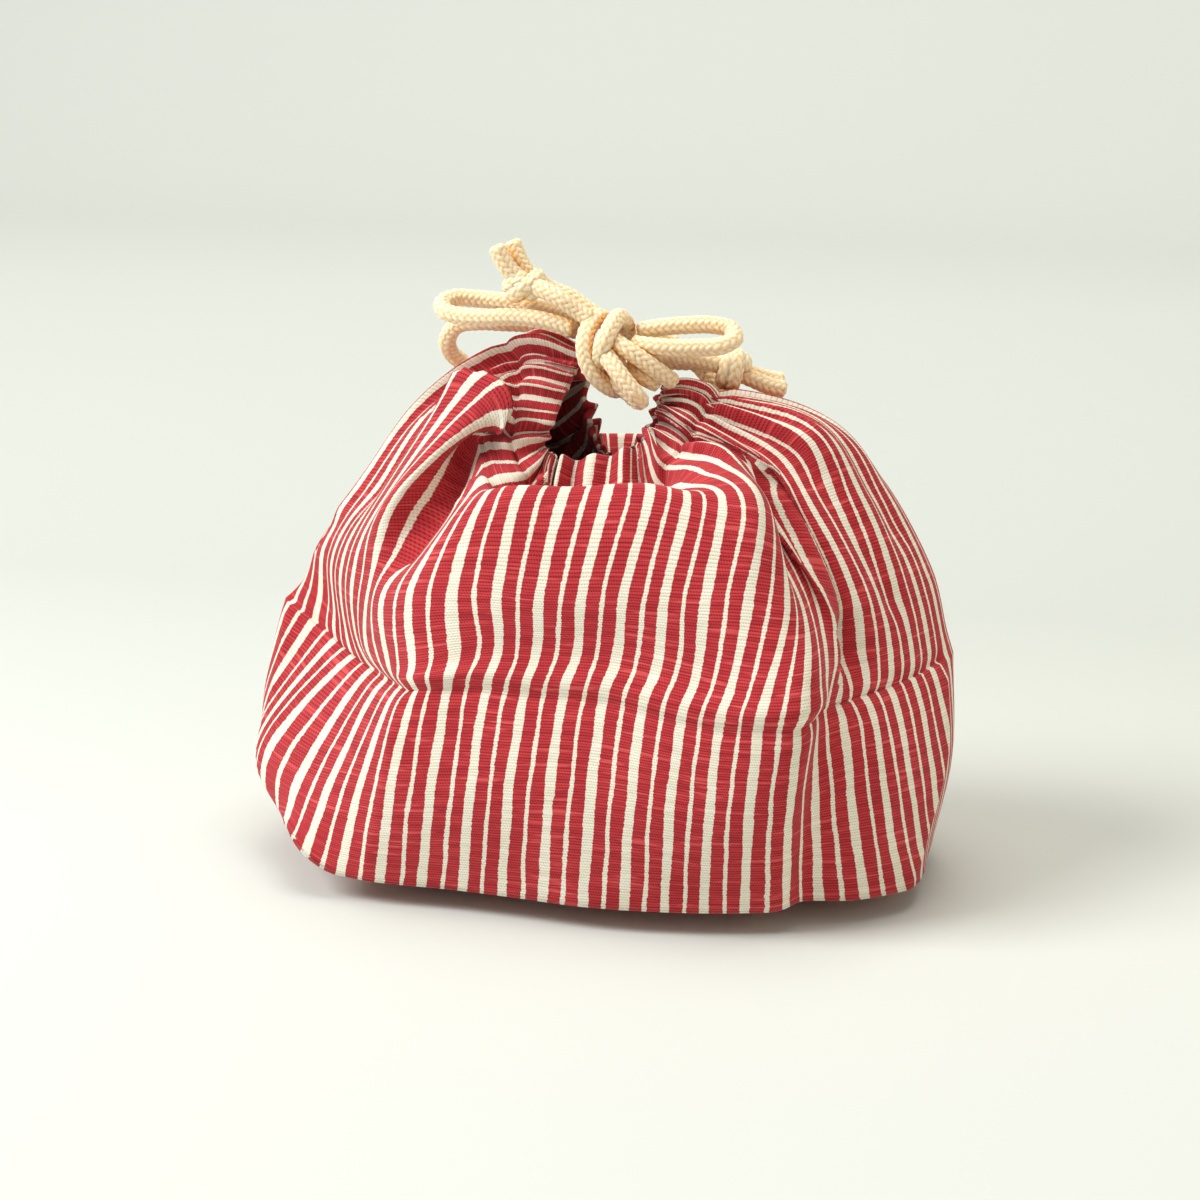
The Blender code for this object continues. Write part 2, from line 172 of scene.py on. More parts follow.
def braided_tube(points, phase=0.0):
    """Points, faces, relief, yarn places and path of one length of braided cord.

    A circle is carried along the path. Its radius is the cord's, less the braid's relief, and is
    drawn in as part of a quarter circle within a millimetre of either end, which stays flat.
    """
    path = cord_path(points)
    side, other = untwisted_sides(path)
    along = length_along(path)
    around = np.arange(POINTS_AROUND) / POINTS_AROUND
    relief, across, lengthwise = braid(around[None, :] + phase, along[:, None] + phase)
    to_end = np.minimum(along, along[-1] - along)
    rounding = np.sqrt(1 - np.clip(1 - to_end / END_ROUNDING, 0, END_FLAT) ** 2)
    radius = (CORD_DIAMETER / 2 - BRAID_RELIEF * (1 - relief)) * rounding[:, None]
    angle = 2 * np.pi * around
    circle = (side[:, None] * np.cos(angle)[None, :, None]
              + other[:, None] * np.sin(angle)[None, :, None])
    rings = path[:, None] + circle * radius[:, :, None]
    count, size = len(path), POINTS_AROUND
    start = np.arange((count - 1) * size)
    right = start // size * size + (start + 1) % size
    quads = np.stack([start, right, right + size, start + size], axis=1)
    ends = [np.arange(size)[::-1].tolist(), (np.arange(size) + (count - 1) * size).tolist()]
    yarn = np.stack([across, lengthwise], axis=-1).reshape(-1, 2)
    return rings.reshape(-1, 3), quads.tolist() + ends, relief.ravel(), yarn, path


def braided_piece(name, routes, finish):
    """One piece of one or more lengths of braided cord; returns it and the lengths' paths.

    The relief and the place in the yarn, which the material shades by, go into the mesh.
    """
    verts, faces, relief, yarn, paths = [], [], [], [], []
    for index, route in enumerate(routes):
        new_verts, new_faces, new_relief, new_yarn, path = braided_tube(route, STRAND_SHIFT * index)
        base = sum(len(part) for part in verts)
        verts.append(new_verts)
        faces += [[base + corner for corner in face] for face in new_faces]
        relief.append(new_relief)
        yarn.append(new_yarn)
        paths.append(path)
    mesh = bpy.data.meshes.new(name)
    mesh.from_pydata(np.concatenate(verts), [], faces)
    mesh.shade_smooth()
    height = mesh.attributes.new("relief", "FLOAT", "POINT")
    height.data.foreach_set("value", np.concatenate(relief))
    corners = np.empty(len(mesh.loops), int)
    mesh.loops.foreach_get("vertex_index", corners)
    layer = mesh.uv_layers.new(name="yarn")
    layer.data.foreach_set("uv", np.concatenate(yarn)[corners].ravel())
    mesh.materials.append(finish)
    piece = bpy.data.objects.new(name, mesh)
    bpy.context.collection.objects.link(piece)
    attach(piece, "root")
    return piece, paths


def linear(code):
    """An sRGB hex colour as linear red, green, blue and alpha, by the sRGB standard's curve."""
    share = np.array([int(code[place:place + 2], 16) for place in (1, 3, 5)]) / 255
    low, high = share / 12.92, ((share + 0.055) / 1.055) ** 2.4
    return (*np.where(share <= 0.04045, low, high).tolist(), 1.0)


def add_node(tree, kind, settings=None, **inputs):
    """A new node with its settings; each input is a value, or another node's output to link.

    An input is named as its socket is, with _ for a space, or in0, in1 and so on by its number.
    """
    made = tree.nodes.new("ShaderNode" + kind)
    for key, value in (settings or {}).items():
        setattr(made, key, value)
    for key, value in inputs.items():
        numbered = key.startswith("in") and key[2:].isdigit()
        socket = made.inputs[int(key[2:]) if numbered else key.replace("_", " ")]
        if isinstance(value, bpy.types.NodeSocket):
            tree.links.new(value, socket)
        else:
            socket.default_value = value
    return made


def new_material(name):
    """An empty material with its shader; returns both and the node tree."""
    made = bpy.data.materials.new(name)
    made.use_nodes = True
    return made, made.node_tree, made.node_tree.nodes["Principled BSDF"]


def colour_steps(node, steps):
    """Sets a colour ramp's stops: pairs of place and sRGB hex colour."""
    stops = node.color_ramp.elements
    for index, (place, code) in enumerate(steps):
        stop = stops[index] if index < 2 else stops.new(place)
        stop.position = place
        stop.color = linear(code)


# Bulky acrylic yarn, dyed cream: matt, with a soft fuzz. Its colour holds painted shade: darker
# and golden down in the grooves between bundles and in every hollow between turns of cord.
acrylic, tree, shader = new_material("braided_acrylic_yarn")
relief = add_node(tree, "Attribute", {"attribute_name": "relief"})
# painted shade: the yarn's colour turns darker and golden down in the grooves between bundles, by the
# braid's relief
groove_shade_colour = add_node(tree, "ValToRGB", Fac=relief.outputs["Fac"])
colour_steps(groove_shade_colour, [(0.15, "#e8b46c"), (0.45, "#f8dca6"), (0.7, "#fdecc9"),
                            (1.0, "#fef6e6")])
yarn_place = add_node(tree, "UVMap", {"uv_map": "yarn"})
stretched = add_node(tree, "Mapping", Vector=yarn_place.outputs["UV"], Scale=(9, 1.2, 1))
fibres = add_node(tree, "TexNoise", {"noise_dimensions": "2D"}, Vector=stretched.outputs["Vector"],
                  Scale=1.0, Detail=3.0, Roughness=0.6)
fibre_shade = add_node(tree, "ValToRGB", Fac=fibres.outputs["Fac"])
colour_steps(fibre_shade, [(0.3, "#f3e6cc"), (0.65, "#ffffff")])
shaded = add_node(tree, "Mix", {"data_type": "RGBA", "blend_type": "MULTIPLY"}, Factor=1.0,
                  in6=groove_shade_colour.outputs["Color"], in7=fibre_shade.outputs["Color"])
# painted shade: by ambient occlusion, the colour turns darker and golden in every hollow between turns of
# cord and between bundles
hollow = add_node(tree, "AmbientOcclusion", {"samples": 6}, Distance=5 * MM)
hollow_shade = add_node(tree, "ValToRGB", Fac=hollow.outputs["AO"])
colour_steps(hollow_shade, [(0.1, "#e8a252"), (0.4, "#fde4b8"), (0.8, "#ffffff")])
shade_painted_colour = add_node(tree, "Mix", {"data_type": "RGBA", "blend_type": "MULTIPLY"}, Factor=1.0,
                  in6=shaded.outputs[2], in7=hollow_shade.outputs["Color"])
fuzz = add_node(tree, "Bump", Strength=0.5, Distance=0.15 * MM, Height=fibres.outputs["Fac"])
tree.links.new(shade_painted_colour.outputs[2], shader.inputs["Base Color"])
tree.links.new(fuzz.outputs["Normal"], shader.inputs["Normal"])
shader.inputs["Roughness"].default_value = 0.75
shader.inputs["Subsurface Weight"].default_value = 0.4
shader.inputs["Subsurface Radius"].default_value = (1.0, 0.7, 0.3)
shader.inputs["Subsurface Scale"].default_value = 2.4 * MM
shader.inputs["Sheen Weight"].default_value = 0.25
shader.inputs["Sheen Roughness"].default_value = 0.4
shader.inputs["Specular IOR Level"].default_value = 0.25


# The bow knot: the two cords are laid over each other above the mouth and tied. Two turns of cord
# wrap round its middle, and a bight and two strands lie under them. Pulled tight, it is one piece.

BOW_WRAPS = {
    "bow_wrap_left": [(-1, 10.5, 158), (-2.6, 7, 162), (-3.6, 2, 163.6), (-5, -2, 162),
                      (-5.9, -5, 158), (-5.2, -6, 152.8), (-2.8, -5.5, 148.2), (0.2, -3, 144.9),
                      (2.4, 1, 143), (2.6, 6, 143), (1, 10.5, 146.5), (-0.5, 11.5, 152)],
    "bow_wrap_middle": [(2.5, 9.5, 152.5), (3.6, 9, 158), (3.6, 6, 162), (2.6, 2, 163.9),
                        (1.9, -1.5, 163.1), (1.0, -5, 160.6), (-0.2, -6.6, 157.2),
                        (-1.4, -5.5, 153.4), (-2, -2, 150)],
    "bow_bight": [(-1.2, -3, 156), (1.0, -6.5, 153.9), (4.1, -8.6, 150.7), (7.4, -9.2, 146.9),
                  (10, -8.6, 143.6), (10.6, -6, 141.4), (9, -3.6, 141.2), (6.4, -3, 143.2),
                  (3.4, -3, 146.2), (0.6, -1.5, 149.4)],
    "bow_strand": [(2, -3, 158), (5.6, -4.6, 156.4), (9.8, -4.2, 153.6), (13.8, -2.6, 150.4),
                   (16.8, -0.2, 147.6), (18.4, 3, 145.6)],
    "bow_strand_short": [(5, 0, 150), (8.6, -1, 148.4), (12, -0.5, 146.6), (14.6, 1.4, 145)],
}

bow_knot, _ = braided_piece("bow_knot_braid", list(BOW_WRAPS.values()), acrylic)
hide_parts("bow_knot", "cord_bow_bight", "cord_bow_strand")


# The end knots: at either side the two ends of one cord are tied in one tight knot, which keeps
# them from slipping back. Two turns of cord round the ends show. Sizes are in millimetres.

LEFT_KNOT_MIDDLE, LEFT_KNOT_AXIS = (-25.2, 3, 172), (-0.46, 0.0, 0.89)
RIGHT_KNOT_MIDDLE, RIGHT_KNOT_AXIS = (32.5, 22.8, 145.8), (0.94, 0.2, -0.33)
COIL_TURNS = 2.1
COIL_RADIUS = 4.1
COIL_ADVANCE = 4.7
COIL_POINTS = 33
COIL_DRAWN_IN = 0.55  # share of the radius lost at either end


def coil(middle, axis, start):
    """Points of a coil round an axis, in millimetres.

    A helix of two turns that starts at a share of a turn. Its radius falls off towards either
    end, with the sixth power of the distance from the middle.
    """
    axis = unit(np.array(axis, float))
    first = unit(np.cross(axis, [0, 1, 0]))
    second = np.cross(axis, first)
    share = np.linspace(-0.5, 0.5, COIL_POINTS)[:, None]
    angle = 2 * np.pi * (share * COIL_TURNS + start)
    radius = COIL_RADIUS * (1 - COIL_DRAWN_IN * np.abs(2 * share) ** 6)
    ring = first * np.cos(angle) + second * np.sin(angle)
    climb = axis * share * (COIL_TURNS - 1) * COIL_ADVANCE
    return (np.array(middle) + ring * radius + climb).tolist()


left_turns = coil(LEFT_KNOT_MIDDLE, LEFT_KNOT_AXIS, start=0.3)
left_end_knot, _ = braided_piece("left_end_knot_braid", [left_turns], acrylic)
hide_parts("end_knot_left")
right_turns = coil(RIGHT_KNOT_MIDDLE, RIGHT_KNOT_AXIS, start=0.1)
right_end_knot, _ = braided_piece("right_end_knot_braid", [right_turns], acrylic)
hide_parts("end_knot_right")


# The free lengths of the drawcords: from each slit to the bow knot, the two loops of the bow, and
# the four tails that run through the end knots to their cut ends. Points are in millimetres.

LOOP_LEFT = [(-9.8, 7.8, 161), (-17, 11, 163), (-26, 11.5, 164.5), (-34, 12, 165.5),
             (-42, 12, 166), (-48, 9.5, 166.5), (-50.5, 5.5, 165.5), (-49, 1.5, 164),
             (-44, -0.5, 163), (-36, -1.5, 163), (-28, -1.5, 163.5), (-20, -1.5, 163),
             (-10.4, -0.6, 160.4)]
EXIT_LEFT = [(-8.8, 11.6, 157.2), (-17, 17, 157.5), (-26, 18.5, 158), (-35, 19, 158),
             (-43, 19, 158), (-50, 20, 156.5), (-53.5, 22, 152), (-53.5, 26, 147),
             (-50, 28.5, 143), (-47, 26.4, 140.4), (-46.7, 23.0, 138.4)]
TAIL_LEFT_1 = [(-5, -1, 163.5), (-8.4, -1, 165.7), (-13.5, -2, 169.3), (-18.4, -1.2, 171.5),
               (-25, 1, 173.5), (-29.4, 0.4, 177.2), (-31.7, 0, 181), (-33, 0, 184)]
TAIL_LEFT_2 = [(-4.5, 4.9, 163.5), (-8.1, 5.1, 165.8), (-12.5, 5.5, 168.6), (-17.5, 4.9, 170.6),
               (-23, 5, 173.5), (-27.1, 6, 178.2), (-28.8, 6.5, 181.7), (-30, 6.6, 184.5)]
LOOP_RIGHT = [(7.2, 5.8, 159.3), (14, 7.5, 160.5), (21, 9.5, 161), (28, 11.5, 161),
              (33.5, 11.5, 160), (35.5, 8, 158), (32.5, 4, 156.5), (26, 2, 156),
              (19, 0, 156), (12, -1, 156.5), (6.9, -0.5, 156.9)]
EXIT_RIGHT = [(1.3, 12, 155.4), (6, 20, 155.5), (13, 26.5, 152.5), (19, 30.5, 147),
              (24, 32, 141), (27, 31, 135), (28, 28.6, 130.2), (27.8, 26.4, 125.8)]
TAIL_RIGHT_1 = [(8.4, 7.6, 152.1), (13, 11, 152.2), (19, 15.5, 150.8), (25.3, 19.1, 148.9),
                (32, 22, 146), (38.7, 24, 142.9), (43, 25, 141), (48, 26, 140)]
TAIL_RIGHT_2 = [(4.1, 11.6, 149.7), (9, 17, 149), (17, 21.5, 148), (25, 24.6, 147.5),
                (31.5, 27, 145.5), (37.7, 29.2, 143.3), (42, 31.5, 141.8), (46, 33, 141)]


def free_cord(name, route, nodes):
    """A stretch of cord between two knots, or from a knot to its slit, or to its cut end.
    """
    piece, paths = braided_piece(name, [route], acrylic)
    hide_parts(*nodes)


free_cord("drawcord_left_exit", EXIT_LEFT, ["cord_left_exit"])
free_cord("drawcord_left_loop", LOOP_LEFT, ["cord_left_loop"])
free_cord("drawcord_right_exit", EXIT_RIGHT, ["cord_right_exit"])
free_cord("drawcord_right_loop", LOOP_RIGHT, ["cord_right_loop"])
free_cord("drawcord_left_tail_1", TAIL_LEFT_1, ["cord_left_tail_1", "cord_left_end_1"])
free_cord("drawcord_left_tail_2", TAIL_LEFT_2, ["cord_left_tail_2", "cord_left_end_2"])
free_cord("drawcord_right_tail_1", TAIL_RIGHT_1, ["cord_right_tail_1", "cord_right_end_1"])
free_cord("drawcord_right_tail_2", TAIL_RIGHT_2, ["cord_right_tail_2", "cord_right_end_2"])


# The bag: one length of slub cotton, 558 mm round, sewn to an oval base of the same cloth. Its top
# edge is turned in for a 22 mm channel, sewn down 168 mm up the cloth, and is gathered on the two
# drawcords. It stands as it does round a flat lunch box, whose top edge it is creased over.

STRIPE_REPEAT = 12.4 * MM
REPEATS_ROUND = 45
CLOTH_THICKNESS = 0.8 * MM
WALL_CUT = 190 * MM
CHANNEL_WIDTH = 22 * MM
CREASE_ROW = 63
BACK_STATION = -23.0
PLEATS = 42
COLUMNS_PER_PLEAT = 12
PLEAT_START = 132 * MM
DEEPEST_PLEAT = 2.1 * MM
PLEAT_FILL = 0.2  # share of the spare cloth that becomes depth
STEEPEST_PLEAT = 0.3  # depth as a share of the drawn-up width
MOST_GATHERED, LEAST_GATHERED = 0.25, 0.88  # drawn-up width as a share of the cut width
SLOW_DRIFT, QUICK_DRIFT = 0.35, 0.15  # of the pleats round the bag, in pleats
UNEVEN_DEPTH = 0.4
BROAD_FOLD = 1.6 * MM
BROAD_FOLD_START = 95 * MM
BROAD_FOLD_RISE = 50 * MM
CHANNEL_SWELL = 1.9 * MM
SWELL_BLUNTNESS = 0.8
SEAM_PINCH = 1.5 * MM
SEAM_PINCH_WIDTH = 1.6 * MM
RIM_SCALLOP = 0.35  # rise of the mouth's edge as a share of its pleats' depth
DOUBLING_SHARE = 0.3  # share of the channel's width over which its hem thickens the wall

# Rings of the base inside its seam: their size, and how much of the seam's lift they share.
BASE_RINGS = [(0.50, 0.0), (0.60, 0.10), (0.70, 0.34), (0.80, 0.62), (0.90, 0.85), (0.97, 0.96),
              (0.995, 0.99)]
BASE_RING_STEP = 4 * MM

# Rows of the mesh up the cloth, in millimetres: from, to and how many. They lie closest at the crease.
ROW_BANDS = [(0, 55, 26), (57, 63, 6), (64, 82, 15), (85, 124, 18), (126, 190, 45)]

# Stations round the bag, in stripe repeats: the left end is near -11, the right end near 10.
STATIONS = [-12.5, -10.5, -9, -8, -7, -6.3, -5.6, -4.8, -3.5, -2, 0, 2, 3, 4, 5, 6, 7, 8.5, 10.5, 13,
            16, 19.4, 22.8, 27, 30.5]

# Rows of the net, each at its height up the cloth, with a point at each station, in millimetres.
NET = {
    # the base seam, which lifts off the ground at the bag's lower left corner
    0: [(-95, 16, 7), (-96, -8, 8), (-92.5, -26, 13), (-87, -40, 17), (-79.4, -49.2, 11.8),
        (-71.5, -51, 8), (-63, -52, 7.3), (-53, -53.5, 7), (-37, -55, 7), (-18.7, -57.5, 7),
        (5.6, -61.5, 7), (29, -61, 7), (40, -59.5, 7), (51, -57, 7), (63, -54, 7), (73, -48, 7),
        (83, -39, 7), (94, -24, 7), (96, -1, 8), (93, 29, 7),
        (72, 54, 7), (35, 62, 7), (-6, 64, 7), (-56, 59, 7), (-88, 38, 7)],
    # halfway up the wall, which stands out past the base seam
    32: [(-108, 12, 38), (-106, -3, 34), (-101, -14, 31), (-86, -30, 30), (-74, -41, 31),
         (-66, -47, 32), (-58, -52, 33), (-49, -56, 34), (-33, -59, 36), (-16, -61, 37),
         (8, -63, 38), (31, -65, 37), (42, -65, 36), (53, -64, 36), (64, -60, 36), (73, -53, 37),
         (80, -46, 39), (91, -34, 39), (100, -14, 38), (100, 16, 39),
         (78, 46, 38), (38, 62, 38), (-4, 65, 38), (-56, 60, 38), (-95, 38, 38)],
    # the crease over the top edge of the box inside
    63: [(-104, 14, 72), (-88, 1, 66), (-76, -12, 63), (-68, -22, 62), (-61, -33, 62),
         (-55, -42, 63), (-50, -49, 64), (-44, -52, 65), (-30, -53, 66), (-13, -55, 66),
         (10, -57, 66), (33, -61, 63), (44, -62, 62), (55, -62, 62), (66, -59, 62), (73, -49, 64),
         (78, -38, 65), (85, -25, 65), (95, -8, 66), (100, 16, 66),
         (80, 44, 65), (40, 58, 65), (-3, 61, 65), (-54, 56, 66), (-92, 38, 69)],
    # just over the crease, where the cloth falls in
    74: [(-100, 16, 78), (-88, 7, 71), (-80, -2, 67), (-74, -10, 66), (-68, -20, 66),
         (-60, -32, 67), (-53, -42, 68), (-44.5, -49, 71), (-27, -51, 75), (-10, -52, 76),
         (13, -53, 76), (36, -56, 73), (46.5, -58, 72), (57, -59, 72), (67, -56, 73), (72, -45, 73),
         (77, -33, 72), (84, -20, 71), (93, -3, 71), (98, 17, 72),
         (78, 42, 75), (39, 56, 76), (-3, 58, 76), (-52, 53, 76), (-88, 37, 78)],
    # the shoulder
    98: [(-98, 21, 90), (-89, 11, 87), (-82, 2, 85), (-76, -6, 85), (-68, -16, 86), (-63, -25, 87),
         (-55, -35, 90), (-46, -43, 93), (-28, -48, 95), (-9, -50, 95), (15, -50, 96), (38, -50, 96),
         (50, -49, 96), (60, -45, 94), (62, -37, 92), (63, -27, 91), (73, -25, 91), (80, -15, 90),
         (88, -1, 90), (93, 17, 91),
         (73, 37, 97), (36, 50, 99), (-3, 52, 100), (-48, 47, 99), (-82, 35, 96)],
    # the top of the front, puffed out in a level fold
    124: [(-90, 26, 104), (-81, 15, 104), (-74, 5, 104), (-66, -6, 108), (-57, -19, 115),
          (-46, -15, 114), (-38, -23, 114), (-33, -34, 117), (-22, -38, 121), (-4, -38, 123),
          (20, -38, 124), (40, -38, 122), (50, -35, 120), (52, -27, 116), (43, -17, 114),
          (46, -11, 114), (56, -14, 116), (66, -8, 115), (76, 4, 115), (79, 20, 115),
          (60, 32, 120), (28, 41, 121), (-3, 42, 121), (-38, 39, 120), (-68, 33, 114)],
    # the neck, where the cloth turns in under the fold and into the gathers
    146: [(-70, 24, 127), (-60, 13, 132), (-49, 0, 138), (-39, -8, 141), (-32, -12, 137),
          (-37, -7, 128), (-34, -13, 124), (-28, -24, 118), (-16, -27, 113), (-5, -28, 111),
          (9, -28, 111), (26, -27, 122), (37, -22, 127), (40, -15, 127), (38, -9, 126),
          (41, -6, 127), (46, -8, 127), (54, -2, 130), (62, 9, 132), (65, 21, 129),
          (46, 30, 122), (18, 32, 113), (-2, 32, 111), (-24, 31, 114), (-48, 29, 128)],
    # the seam at the foot of the channel
    168: [(-31, 9, 155), (-29, 3, 151), (-27, -2, 146), (-26, -5, 141), (-26, -8, 134),
          (-27, -11, 130), (-24, -14, 125), (-20, -16, 119), (-17, -18, 113), (-12, -19, 109),
          (8, -19, 109), (18, -16, 119), (23, -12, 127), (25, -9, 130), (26, -7, 131), (26, -5, 133),
          (27, -3, 136), (29, 2, 139), (31, 9, 141), (29, 18, 140),
          (20, 23, 126), (8, 24, 108), (-2, 24, 106), (-14, 23, 114), (-27, 17, 147)],
    # the edge of the mouth: high at both sides, low at the front and the back
    190: [(-10, 4, 155), (-9, -1, 151), (-11, -4, 145), (-13, -6, 140), (-15, -7, 134),
          (-15.5, -7.5, 130.5), (-16, -8, 128), (-16, -9, 126), (-15, -10, 125), (-11.5, -10.5, 125),
          (6.5, -10.5, 127), (12, -8, 131), (13, -6, 132), (14, -4, 134), (14.5, -2, 135.5),
          (15, 0, 137), (15, 2, 138), (15, 4, 141), (15, 8, 143), (14, 13, 141),
          (9, 12, 131), (4, 11, 121), (-1, 11, 120), (-6, 11, 130), (-9, 9, 150)],
}

# Folds sharper than the net can draw: a line of stations and millimetres up the cloth, how far the
# fold stands out, how wide it is on the left and the right of its line, in millimetres, and
# whether its top is sharp.
FOLDS = [
    # the folded edges of the corners that stand off the box inside
    ([(-7.5, 0), (-8.3, 6), (-9, 19), (-10, 29), (-11, 45), (-11.8, 60)], 1.6, (6, 6), True),
    ([(8.2, 0), (9, 8), (10, 22), (11, 40), (11.5, 58)], 1.8, (6, 6), True),
    # the upright edge of the box at the left of the front
    ([(-5.5, 60), (-5.2, 40), (-5.3, 20), (-5.4, 3)], 1.8, (9, 9), True),
    # the creases that run in from both corners along the top edge of the box
    ([(-12, 66), (-10, 65), (-8, 64), (-5.4, 64)], -3.0, (4, 4), True),
    ([(7, 63), (8.5, 64), (10, 65), (11.5, 66)], -3.0, (4, 4), True),
    ([(-5.4, 63), (-3.5, 63.5), (0, 63), (1.5, 62.5), (3, 62.5), (6.3, 63)], -2.0, (2.2, 2.2), True),
    ([(-5.4, 68), (-3.5, 68.5), (0, 68), (1.5, 67.5), (3, 67.5), (6.0, 68)], 1.5, (4, 4), False),
    # the valley down the right of the front, under the folded edge over it
    ([(6.7, 85), (6.4, 64), (6.0, 40), (5.6, 0)], -5.5, (12, 8), False),
    ([(5.5, 128), (6.1, 118), (6.4, 105), (6.5, 95), (6.7, 80)], 6.0, (1.5, 10), True),
    ([(6.7, 132), (7.0, 118), (7.1, 105), (7.2, 82)], -9.0, (9, 3), True),
    # the flap that hangs over the gathers at the left, and the hollow under it
    ([(-8.6, 150), (-7.8, 153), (-7.1, 152.5), (-6.8, 151)], 7.5, (1.0, 7), True),
    ([(-8.4, 154), (-7.6, 155), (-6.6, 154)], -3.0, (7, 2), True),
    ([(-6.35, 142), (-6.25, 130), (-6.1, 108)], -6.0, (4, 4), True),
    ([(-5.6, 122), (-5.4, 132), (-5.0, 140)], 2.5, (2, 6), True),
    # the pleats of the channel that show over the front
    ([(-4.3, 166), (-4.2, 190)], -2.0, (2.5, 2.5), True),
    ([(-2.6, 166), (-2.5, 190)], -1.6, (2.2, 2.2), True),
    ([(-1.5, 166), (-1.6, 190)], -1.8, (2.0, 2.0), True),
    ([(-0.6, 166), (-0.5, 190)], -1.6, (2.0, 2.0), True),
    ([(0.5, 166), (0.4, 190)], -2.0, (2.2, 2.2), True),
    ([(1.5, 166), (1.6, 190)], -1.8, (2.2, 2.2), True),
    # folds that run in to the mouth over the left side
    ([(-10.1, 164), (-10.3, 176), (-10.8, 188)], -2.8, (3.5, 3.5), True),
    ([(-9.6, 130), (-9.3, 145), (-9.4, 160)], -2.5, (7, 7), False),
    ([(-11.2, 120), (-11.2, 140), (-11.3, 176)], 2.5, (6, 6), False),
    ([(-13.0, 110), (-12.6, 140), (-12.4, 165)], -2.5, (7, 7), False),
    # the left shoulder, where the empty cloth over the box falls in
    ([(-13.5, 92), (-13.0, 104), (-12.6, 118), (-12.2, 134)], -7.0, (20, 20), False),
    # and over the right side
    ([(9.3, 146), (10.5, 153), (12, 156), (13.5, 153)], 2.5, (11, 11), False),
    ([(8.0, 160), (8.3, 140), (9.0, 118), (9.6, 95)], -2.5, (7, 7), False),
    ([(10.6, 164), (10.9, 140), (11.2, 115)], -2.2, (7, 7), False),
    ([(5.0, 166), (5.3, 150), (5.2, 138)], -3.0, (5, 5), True),
    ([(3.2, 166), (3.6, 152), (4.2, 140)], 2.5, (5, 5), False),
    # the crease over the box at the back, and the soft folds that fall from the neck to it
    ([(14.5, 65), (17, 63), (20, 64), (23, 65), (26, 63), (29.5, 65)], -1.8, (3, 3), True),
    ([(15, 72), (18, 71), (22, 70), (27, 72)], 1.6, (5, 5), False),
    ([(17.5, 126), (18, 108), (18.9, 88), (20.4, 70)], -2.2, (8, 8), False),
    ([(24.5, 122), (24.2, 104), (23.2, 84)], 1.6, (9, 9), False),
    ([(28.2, 124), (27.6, 100), (26.2, 76)], -2.4, (7, 7), False),
    ([(15.2, 60), (16.2, 38), (16.4, 12)], -1.5, (9, 9), False),
    ([(28.0, 58), (27.4, 30), (28.0, 8)], -1.5, (8, 8), False),
]


def smooth_cloth(stations, heights):
    """Points of the cloth before its gathers and folds, one row for each height up the cloth.

    Each row of the net is a closed spline round the bag. One spline joins the rows up to the
    crease and another those from there on, so that the cloth breaks sharply at the crease.
    """
    rows = np.array([spline(STATIONS, points, stations, period=REPEATS_ROUND) * MM
                     for points in NET.values()])
    knots = np.array(list(NET)) * MM
    crease = list(NET).index(CREASE_ROW)
    low = heights <= knots[crease]
    return np.concatenate([spline(knots[:crease + 1], rows[:crease + 1], heights[low]),
                           spline(knots[crease:], rows[crease:], heights[~low])])


def outward(points):
    """Unit normals of a grid of closed rows: the way along a row crossed with the way up."""
    along = np.roll(points, -1, axis=1) - np.roll(points, 1, axis=1)
    return unit(np.cross(along, np.gradient(points, axis=0)))


def smoothed_round(values, width):
    """Each row averaged round the bag over a bell-shaped window of that many columns."""
    window = np.hanning(width + 2)[1:-1]
    window /= window.sum()
    around = np.fft.rfft(np.pad(window, (0, values.shape[1] - width)))
    shifted = np.fft.irfft(np.fft.rfft(values, axis=1) * around, values.shape[1], axis=1)
    return np.roll(shifted, -(width // 2), axis=1)


def waves(stations, count, seed, spread=3):
    """A closed random wave round the bag, of sines near a count of waves, between -1 and 1."""
    source = np.random.default_rng(seed)
    angle = 2 * np.pi * np.asarray(stations) / REPEATS_ROUND
    total = np.zeros(len(angle))
    for number in range(max(1, count - spread), count + spread + 1):
        total += source.uniform(0.5, 1) * np.sin(number * angle + source.uniform(0, 2 * np.pi))
    return total / np.abs(total).max()


def gathers(cloth, stations, heights):
    """How far the cloth is pleated in and out.

    A sine round the bag, uneven in its spacing. A pleat cut w wide and drawn up to the share s of
    that is as deep as w times the root of 1 - s squared, times PLEAT_FILL, eased off towards the
    deepest pleat, and never deeper than a set share of its drawn-up width. Broad random folds
    are added.
    """
    spacing = np.linalg.norm(np.roll(cloth, -1, axis=1) - cloth, axis=2)
    cut = STRIPE_REPEAT * REPEATS_ROUND / len(stations)
    drawn_up = np.clip(smoothed_round(spacing / cut, 2 * COLUMNS_PER_PLEAT + 1),
                       MOST_GATHERED, LEAST_GATHERED)
    pleat = STRIPE_REPEAT * REPEATS_ROUND / PLEATS
    spare = PLEAT_FILL * pleat * np.sqrt(1 - drawn_up ** 2)
    depth = np.minimum(DEEPEST_PLEAT * np.tanh(spare / DEEPEST_PLEAT), STEEPEST_PLEAT * pleat * drawn_up)
    rise = np.clip((heights - PLEAT_START) / (WALL_CUT - CHANNEL_WIDTH - PLEAT_START), 0, 1)
    strength = (rise * rise * (3 - 2 * rise))[:, None]
    turn = 2 * np.pi * (PLEATS * np.asarray(stations) / REPEATS_ROUND
                        + SLOW_DRIFT * waves(stations, count=9, seed=3)
                        + QUICK_DRIFT * waves(stations, count=23, seed=4))
    uneven = 1 + UNEVEN_DEPTH * waves(stations, count=17, seed=5)
    risen = np.clip((heights - BROAD_FOLD_START) / BROAD_FOLD_RISE, 0, 1)[:, None]
    broad = BROAD_FOLD * risen * waves(stations, count=13, seed=8)
    return depth * strength * (np.sin(turn) * uneven)[None, :] + broad


